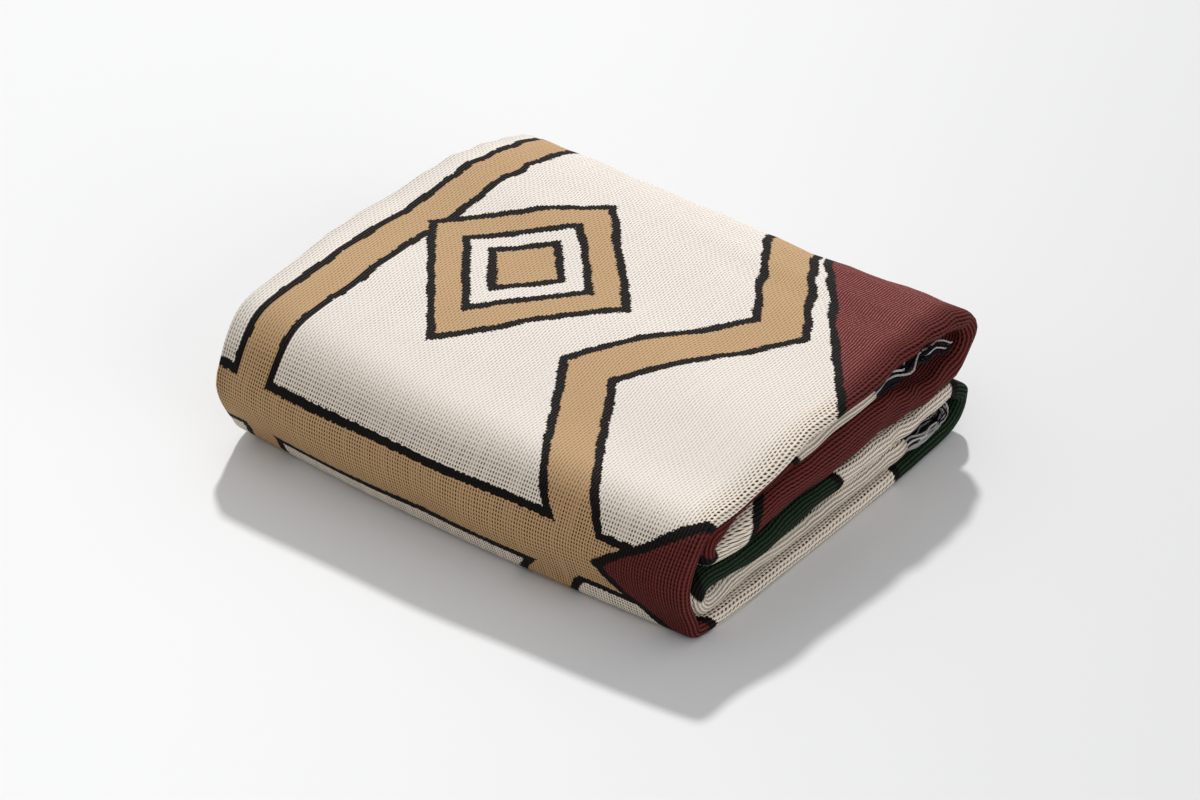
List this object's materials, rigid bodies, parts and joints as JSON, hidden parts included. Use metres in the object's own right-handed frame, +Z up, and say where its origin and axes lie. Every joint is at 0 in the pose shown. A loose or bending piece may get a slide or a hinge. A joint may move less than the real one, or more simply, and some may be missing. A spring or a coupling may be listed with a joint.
{
  "type": "folded woven blanket",
  "caption": "Woven throw blanket folded into a flat rectangular stack, with rounded folds, open loops and tucked-in fringes.",
  "frame": {"origin": "on the surface below the middle of the folded stack", "axes": "+X along the folded width, +Y from the big front fold to the open back loops, +Z up"},
  "size_m": [0.3896, 0.3398, 0.1067],
  "materials": {
    "cloth": "matte woven cotton",
    "pale_fringe": "matte twisted yarn",
    "dark_fringe": "matte twisted yarn"
  },
  "bodies": {
    "root": {"cloth": "cloth", "fringe_lower": "pale_fringe", "fringe_upper": "dark_fringe"}
  },
  "joints": []
}
